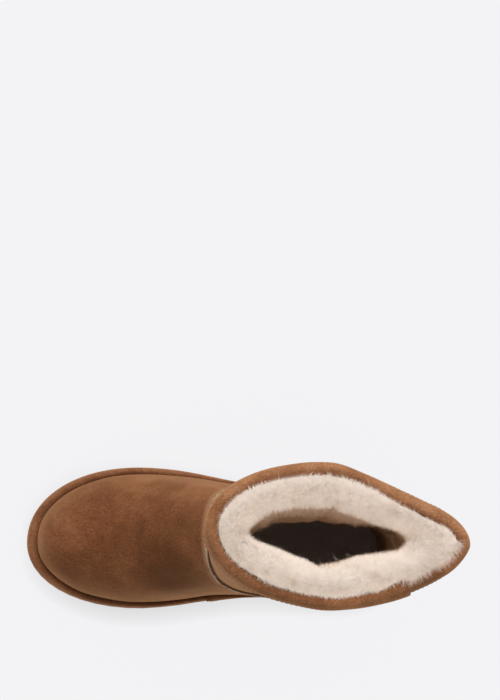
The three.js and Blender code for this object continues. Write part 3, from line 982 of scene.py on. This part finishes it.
# The row of stitches inside the edge of the heel counter: up one end, over the top, down the other.
def stitchCounter():
    tree = treeOf(counter)
    low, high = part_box("heel_counter")
    inset = stitchSizes["counterInset"]
    centre = Vector((high.x, (low.y + high.y) / 2, 0))

    def hit(turn, z):
        direction = Vector((math.cos(turn), math.sin(turn), 0))
        return tree.ray_cast(centre + Vector((0, 0, z)) + 0.12 * direction, -direction, 0.115)

    columns = []
    for turn in np.linspace(0.5 * math.pi, 1.5 * math.pi, 181):
        heights = [z for z in np.arange(high.z, low.z, -0.7 * mm) if hit(turn, z)[0] is not None]
        if heights:
            columns.append((turn, heights[0], heights[-1]))
    trim = 6
    columns = columns[trim:-trim]
    first, last = columns[0], columns[-1]
    path = [(first[0], z) for z in np.arange(first[2] + inset, first[1] - 2 * inset, 0.8 * mm)]
    path += [(turn, top - inset) for turn, top, foot in columns]
    path += [(last[0], z) for z in np.arange(last[1] - 2 * inset, last[2] + inset, -0.8 * mm)]
    hits = [hit(turn, z) for turn, z in path]
    spots = np.array([h[0] for h in hits if h[0] is not None])
    relax(spots, 26)
    runningStitches("counterStitches", tree, evenPath(spots, 0.55 * mm), stitchSizes["counterPitch"])


stitchCounter()
print("binding, rand and counter made")

soleSizes = {
    "edge": 0.4 * mm,
    "edgeAngle": math.radians(40),
    "smoothAngle": math.radians(35),
}


def makeSole():
    sole = copyNode("outsole", "mouldedSole")
    applyModifier(sole, "BEVEL", width=soleSizes["edge"], segments=2, limit_method="ANGLE",
                  angle_limit=soleSizes["edgeAngle"])
    bpy.ops.object.shade_smooth_by_angle(angle=soleSizes["smoothAngle"])
    finishPiece(sole, soleMaterial, "sole_foam", "outsole")


insoleSizes = {
    "levels": 2,
    "spread": 3.5 * mm,  # how far its edge reaches into the wool round it
}


def makeInsole():
    pad = copyNode("insole", "woolInsole")
    smooth(pad, insoleSizes["levels"])
    away = normalsOf(pad)
    away[:, 2] = 0
    setCoordinates(pad, coordinates(pad) + insoleSizes["spread"] * away)
    for name in ["along", "tint"]:
        setAttribute(pad, name, np.full(len(pad.data.vertices), 0.5))
    finishPiece(pad, insoleMaterial, "wool", "insole")


makeSole()
makeInsole()
print("sole and insole made")

fleeceSizes = {
    "levels": 2,
    "lumpSize": 11 * mm,
    "lumpHeight": 1.1 * mm,
    "rimSwell": 4.2 * mm,  # how far it swells in over the edge of the collar
    "rimHeight": 14 * mm,
    "backFlatter": 0.55,  # it swells less near the narrow end at the back
    "creaseDepth": 1.8 * mm,  # where the wool parts over the side seams
    "creaseWidth": 3.5 * mm,
    "fibreLength": 5.2 * mm,
    "fibreWidth": 0.21 * mm,
    "count": 34000,  # in each quarter
    "clumpCount": 900,
    "depth": 70 * mm,  # fibres grow down to this far below the collar
    "tapeReach": 7 * mm,  # no fibre grows where the binding is this near above it
    "tapeWidth": 3.4 * mm,  # beside the binding the wool is short and stands up
    "tapeShorter": 0.5,
    "tapeLean": 1.35,
    "skyRays": 20,
    "skyReach": 0.25,
    "scatter": 2.2,  # soft wool scatters light, so it shades as if it looked upwards
}

# A blade of wool from root to tip.
bladeShape = {
    "levels": [0.0, 0.4, 0.75, 1.0],
    "widths": [1.0, 0.85, 0.55, 0.0],
    "along": [0.0, 0.0, 0.4, 0.4, 0.8, 0.8, 1.0],  # one for each of its points
    "sunk": 0.4 * mm,
}

# Where the wool stands deeper into the throat.
woolRolls = [
    {"place": (-0.056, -0.018, 0.118), "size": (0.055, 0.030, 0.050), "height": 12.0 * mm},
    {"place": (-0.050, -0.016, 0.172), "size": (0.045, 0.020, 0.026), "height": 1.0 * mm},
    {"place": (-0.012, -0.006, 0.160), "size": (0.016, 0.014, 0.040), "height": 5.0 * mm},
    {"place": (-0.019, 0.023, 0.188), "size": (0.020, 0.016, 0.026), "height": 6.5 * mm},
    {"place": (-0.080, 0.024, 0.188), "size": (0.024, 0.020, 0.026), "height": 5.5 * mm},
    {"place": (-0.104, 0.006, 0.184), "size": (0.018, 0.013, 0.040), "height": -6.5 * mm},
]


def rollHeights(points):
    total = np.zeros(len(points))
    for roll in woolRolls:
        away = (points - np.array(roll["place"])) / np.array(roll["size"])
        total += roll["height"] * np.exp(-(away ** 2).sum(axis=1))
    return total


# How much of the room above each point of the bed can see, from 0 deep in the shaft to 1.
def skyShare():
    tree = treeOf(bed)
    rays = []
    for k in range(fleeceSizes["skyRays"]):
        height = 1 - (k + 0.5) / fleeceSizes["skyRays"] * 0.9
        turn = 2.4 * k
        flat = math.sqrt(1 - height ** 2)
        rays.append((Vector((flat * math.cos(turn), flat * math.sin(turn), height)), height))
    whole = sum(weight for ray, weight in rays)
    shares = []
    for point, normal in zip(coordinates(bed), normalsOf(bed)):
        start = Vector(point + 1.2 * mm * normal)
        free = sum(weight for ray, weight in rays
                   if tree.ray_cast(start, ray, fleeceSizes["skyReach"])[0] is None)
        shares.append(free / whole)
    return np.array(shares)


def shapeBed():
    editMode(bed)
    rimZ = collarLow.z + 10 * mm
    pickFaces(bed, lambda f: f.normal.z < -0.8 or (facesOut(f) and f.calc_center_median().z < rimZ))
    bpy.ops.mesh.delete(type="FACE")
    objectMode()
    smooth(bed, fleeceSizes["levels"])
    points = coordinates(bed)
    normals = normalsOf(bed)
    lumps = lumpiness(points, fleeceSizes["lumpSize"], 0.45)
    outerSide = np.clip((shaftCentre.y - points[:, 1]) / (15 * mm), 0, 1)
    rim = bump(points[:, 2] - collarZ, fleeceSizes["rimHeight"])
    swell = (fleeceSizes["rimSwell"] + 0.6 * mm * outerSide) * rim
    swell *= 1 - fleeceSizes["backFlatter"] * bump(points[:, 0] - (collarLow.x + 30 * mm), 18 * mm)
    edgeTree = pointTree([spot for spot in openEdge(bed) if spot.z > collarZ - 20 * mm])
    toEdge = np.array([edgeTree.find(Vector(p))[2] for p in points])
    calm = 1 - bump(toEdge, 3 * mm)  # its open edge stays under the binding
    medialSide = points[:, 1] > shaftCentre.y
    seamX = np.where(medialSide, medialX, lateralX)
    crease = fleeceSizes["creaseDepth"] * bump(points[:, 0] - seamX, fleeceSizes["creaseWidth"])
    lift = fleeceSizes["lumpHeight"] * lumps + swell + rollHeights(points) - crease
    setCoordinates(bed, points + normals * (lift * calm)[:, None])
    lit = skyShare()
    setAttribute(bed, "lit", lit)
    backlit = np.clip(normalsOf(bed)[:, 1], 0, 1)  # faces turned away from the sun
    # Painted light: the wool glows part-way into the throat and on faces turned away from the sun.
    setAttribute(bed, "shine", 0.2 * bump(lit - 0.28, 0.13) + 0.85 * lit ** 2 * backlit)
    bed.data.normals_split_custom_set_from_vertices(normalsOf(bed) + np.array([0, 0, fleeceSizes["scatter"]]))
    # The bed is coloured near the roots' darker tone: painted shade under the blades.
    for name, value in [("along", 0.3), ("tint", 0.5)]:
        setAttribute(bed, name, np.full(len(points), value))


shapeBed()
finishPiece(bed, woolMaterial, "wool")


def smoothField(points, size, seed):  # a soft random direction for every point
    draw = np.random.default_rng(seed)
    field = np.zeros_like(points)
    for k in range(9):
        wave = draw.normal(size=3) / size
        for axis in range(3):
            field[:, axis] += draw.normal() * np.sin(points @ wave + draw.uniform(0, 2 * math.pi))
    return field / 3


def trianglesOf(piece):
    piece.data.calc_loop_triangles()
    return np.array([t.vertices[:] for t in piece.data.loop_triangles])


# Whether a blade would come out through the outer face of the binding.
def pokesOut(path):
    tip = path[-1]
    if tip.z > collarZ - 0.7 * mm or tip.z < collarLow.z - 12 * mm:
        return False
    away = Vector((tip.x - shaftCentre.x, tip.y - shaftCentre.y, 0))
    if tapeTree.ray_cast(tip, away, 50 * mm)[0] is not None:
        return False
    steps = zip(path, path[1:])
    return any(tapeTree.ray_cast(first, second - first, (second - first).length)[0] is not None
               for first, second in steps)


# Blades as one mesh: two quads and a tip each, shaded as if they looked along the directions given.
def bladeMesh(name, points, look):
    count, perFibre = points.shape[:2]
    base = (np.arange(count) * perFibre)[:, None]
    quads = np.concatenate([base + np.array([0, 1, 3, 2]), base + np.array([2, 3, 5, 4])])
    tips = base + np.array([4, 5, 6])
    mesh = bpy.data.meshes.new(name)
    loops = np.concatenate([quads.ravel(), tips.ravel()])
    starts = np.concatenate([np.arange(len(quads)) * 4, len(quads) * 4 + np.arange(len(tips)) * 3])
    mesh.vertices.add(count * perFibre)
    mesh.vertices.foreach_set("co", points.ravel())
    mesh.loops.add(len(loops))
    mesh.loops.foreach_set("vertex_index", loops)
    mesh.polygons.add(len(starts))
    mesh.polygons.foreach_set("loop_start", starts)
    mesh.update(calc_edges=True)
    mesh.polygons.foreach_set("use_smooth", np.ones(len(starts), bool))
    mesh.normals_split_custom_set_from_vertices(np.repeat(look, perFibre, axis=0))
    piece = bpy.data.objects.new(name, mesh)
    scene.collection.objects.link(piece)
    piece.visible_shadow = False  # the wool is too fine to shade itself hard
    return piece


# Curved blades of wool on a part of the bed, drawn together at their tips into locks.
def growWool(name, keep, seed, sizes, lean=None):
    draw = np.random.default_rng(seed)
    count = sizes["count"]
    points = coordinates(bed)
    normals = normalsOf(bed)
    triangles = trianglesOf(bed)
    triangles = triangles[keep(points[triangles].mean(axis=1))]
    a, b, c = (points[triangles[:, k]] for k in range(3))
    area = np.linalg.norm(np.cross(b - a, c - a), axis=1)
    depth = collarZ - (a[:, 2] + b[:, 2] + c[:, 2]) / 3
    weight = area * np.interp(depth, [-5 * mm, 25 * mm, sizes["depth"]], [1.3, 1.0, 0.25])
    tries = int(1.25 * count)  # some fall under the binding and are left out
    chosen = draw.choice(len(triangles), size=tries, p=weight / weight.sum())
    u, v = draw.random(tries), draw.random(tries)
    flip = u + v > 1
    u[flip], v[flip] = 1 - u[flip], 1 - v[flip]
    shares = np.stack([1 - u - v, u, v], axis=1)
    corners = triangles[chosen]
    roots = (points[corners] * shares[:, :, None]).sum(axis=1)
    outward = unit((normals[corners] * shares[:, :, None]).sum(axis=1))
    free = []
    for k in range(tries):
        if tapeTree.ray_cast(Vector(roots[k]), Vector(outward[k]), fleeceSizes["tapeReach"])[0] is None:
            free.append(k)
    free = np.array(free[:count])
    count = len(free)
    roots, outward = roots[free], outward[free]
    lit, shine = ((attributeOf(bed, key)[corners[free]] * shares[free]).sum(axis=1) for key in ["lit", "shine"])

    clumps = roots[draw.choice(count, size=min(count // 8, sizes["clumpCount"]), replace=False)]
    clumpTree = pointTree(clumps)
    nearest = np.array([clumpTree.find(Vector(p))[1] for p in roots])
    pull = clumps[nearest] - roots

    length = sizes["fibreLength"] * draw.uniform(0.5, 1.15, count)
    drift = 0.8 * smoothField(roots, 5 * mm, 5) + 0.8 * draw.normal(size=(count, 3))
    if lean is None:
        toTape = np.array([tapeTree.find_nearest(Vector(r))[3] for r in roots])
        nearTape = bump(toTape, fleeceSizes["tapeWidth"])
        length *= 1 - fleeceSizes["tapeShorter"] * nearTape
        inward = unit(np.array([shaftCentre.x, shaftCentre.y, collarZ]) - roots)
        drift += fleeceSizes["tapeLean"] * inward * nearTape[:, None]
        outward = unit(outward + (np.array([0, 0, 1.4]) + 0.4 * inward) * nearTape[:, None])
    else:
        drift += np.array(lean)
    side = unit(np.cross(outward, drift))
    curl = np.cross(side, outward)
    spines = []
    for share in bladeShape["levels"]:
        spine = roots - bladeShape["sunk"] * outward + outward * (length * (share - 0.28 * share ** 2))[:, None]
        spine += pull * (0.6 * share ** 1.5) + curl * (length * (0.25 * share + 0.45 * share ** 2))[:, None]
        spines.append(spine)
    inside = [k for k in range(count) if not pokesOut([Vector(spine[k]) for spine in spines])]
    spines = [spine[inside] for spine in spines]
    side, curl, outward = side[inside], curl[inside], outward[inside]
    nearest, lit, shine = nearest[inside], lit[inside], shine[inside]
    count = len(inside)
    rows = []
    for spine, width in zip(spines, bladeShape["widths"]):
        half = side * (0.5 * sizes["fibreWidth"] * width)
        if width > 0:
            rows += [spine + half, spine - half]
        else:
            rows.append(spine)
    up = np.array([0, 0, fleeceSizes["scatter"]])
    lockTurn = draw.normal(size=(len(clumps), 3))[nearest]
    look = outward + 0.35 * curl + up + 0.09 * lockTurn + 0.18 * draw.normal(size=(count, 3))
    piece = bladeMesh(name, np.stack(rows, axis=1), look)
    perFibre = len(rows)
    setAttribute(piece, "along", np.tile(bladeShape["along"], count))
    lockTint = draw.random(len(clumps))[nearest]
    setAttribute(piece, "tint", np.repeat(0.6 * draw.random(count) + 0.4 * lockTint, perFibre))
    for key, values in [("lit", lit), ("shine", shine)]:
        setAttribute(piece, key, np.repeat(values, perFibre))
    finishPiece(piece, woolMaterial, "wool")
    print(name, count, "blades")


def quarter(front, medial):
    deep = collarZ - fleeceSizes["depth"]
    return lambda c: ((c[:, 2] > deep) & ((c[:, 0] > shaftCentre.x) == front)
                      & ((c[:, 1] > shaftCentre.y) == medial))


def overLap(c):  # the inner back, where the binding's end is lapped
    return (c[:, 0] < collarLow.x + 42 * mm) & (c[:, 1] > shaftCentre.y + 3 * mm) & (c[:, 2] > collarLow.z)


for name, front, medial, seed in [("fleeceFrontInner", True, True, 11), ("fleeceFrontOuter", True, False, 12),
                                  ("fleeceBackInner", False, True, 13), ("fleeceBackOuter", False, False, 14)]:
    growWool(name, quarter(front, medial), seed, fleeceSizes)
spill = {**fleeceSizes, "fibreLength": 7.5 * mm, "fibreWidth": 0.13 * mm, "depth": 20 * mm, "count": 5200}
growWool("fleeceSpill", overLap, 21, spill, lean=(-0.6, 1.7, 0.3))
hairs = {**fleeceSizes, "fibreLength": 10 * mm, "fibreWidth": 0.12 * mm, "depth": 40 * mm, "count": 350}
growWool("fleeceHairs", lambda c: c[:, 2] > collarLow.z - 20 * mm, 22, hairs)
print("wool grown")

stageSizes = {
    "floorSize": 8.0,
    "floorDrop": 0.2 * mm,  # keeps the floor clear of the sole's flat spots
    "floorGlow": 0.874,
    "floorColour": (0.06, 0.06, 0.061, 1),
    "glowColour": (0.985, 0.985, 1.003, 1),
    "shadeColour": (0.3, 0.3, 0.3, 1),
    "shadeReach": 17 * mm,
    "shadeTurn": (-0.35, -0.62, 0.70),
    "shade": 0.43,
    "sky": 0.62,
    "sun": 2.0,
    "sunAngle": 45,
    "sunTurn": (math.radians(43), math.radians(-5), math.radians(0)),
}


def makeStage():
    deselectAll()
    bpy.ops.mesh.primitive_plane_add(size=stageSizes["floorSize"], location=(0, 0, -stageSizes["floorDrop"]))
    floor = bpy.context.object
    floor.name = "paleFloor"
    shader = Shader("paleFloor")
    # Painted shadow: the shade lies beside the boot on its inner side and before the toe, away from the sun.
    turn = shader.add("ShaderNodeCombineXYZ", {}, dict(enumerate(stageSizes["shadeTurn"])))[0]
    near = shader.add("ShaderNodeAmbientOcclusion", {"samples": 4},
                      {"Distance": stageSizes["shadeReach"], "Normal": turn})[1]
    floor.data.materials.append(shader.finish({
        "Base Color": stageSizes["floorColour"],
        "Roughness": 0.9,
        "Specular IOR Level": 0.0,
        "Emission Color": shader.blendColours(stageSizes["shade"] * (1 - near), stageSizes["glowColour"],
                                              stageSizes["shadeColour"]),
        "Emission Strength": stageSizes["floorGlow"],
    }))
    world = bpy.data.worlds.new("softRoom")
    scene.world = world
    world.use_nodes = True
    room = world.node_tree.nodes["Background"].inputs
    room["Color"].default_value = (1, 1, 1, 1)
    room["Strength"].default_value = stageSizes["sky"]
    bpy.ops.object.light_add(type="SUN", rotation=stageSizes["sunTurn"])
    sun = bpy.context.object
    sun.data.energy = stageSizes["sun"]
    sun.data.angle = math.radians(stageSizes["sunAngle"])
    skipped = bpy.data.collections.new("keptFromSun")  # the floor is lit by the room alone
    skipped.objects.link(floor)
    skipped.collection_objects[0].light_linking.link_state = "EXCLUDE"
    sun.light_linking.receiver_collection = skipped


cameraSizes = {
    "place": (0.06055, 0.03727, 1.07623),
    "turn": (0.16303, -0.07713, -3.13587),
    "lens": 75,
    "sensor": 36,
}


def makeCamera():
    bpy.ops.object.camera_add(location=cameraSizes["place"], rotation=Euler(cameraSizes["turn"]))
    camera = bpy.context.object
    camera.data.lens = cameraSizes["lens"]
    camera.data.sensor_width = cameraSizes["sensor"]
    camera.data.sensor_fit = "AUTO"
    camera.data.clip_start = 0.01
    scene.camera = camera
    scene.view_settings.view_transform = "Standard"


makeStage()
makeCamera()
print("stage made")
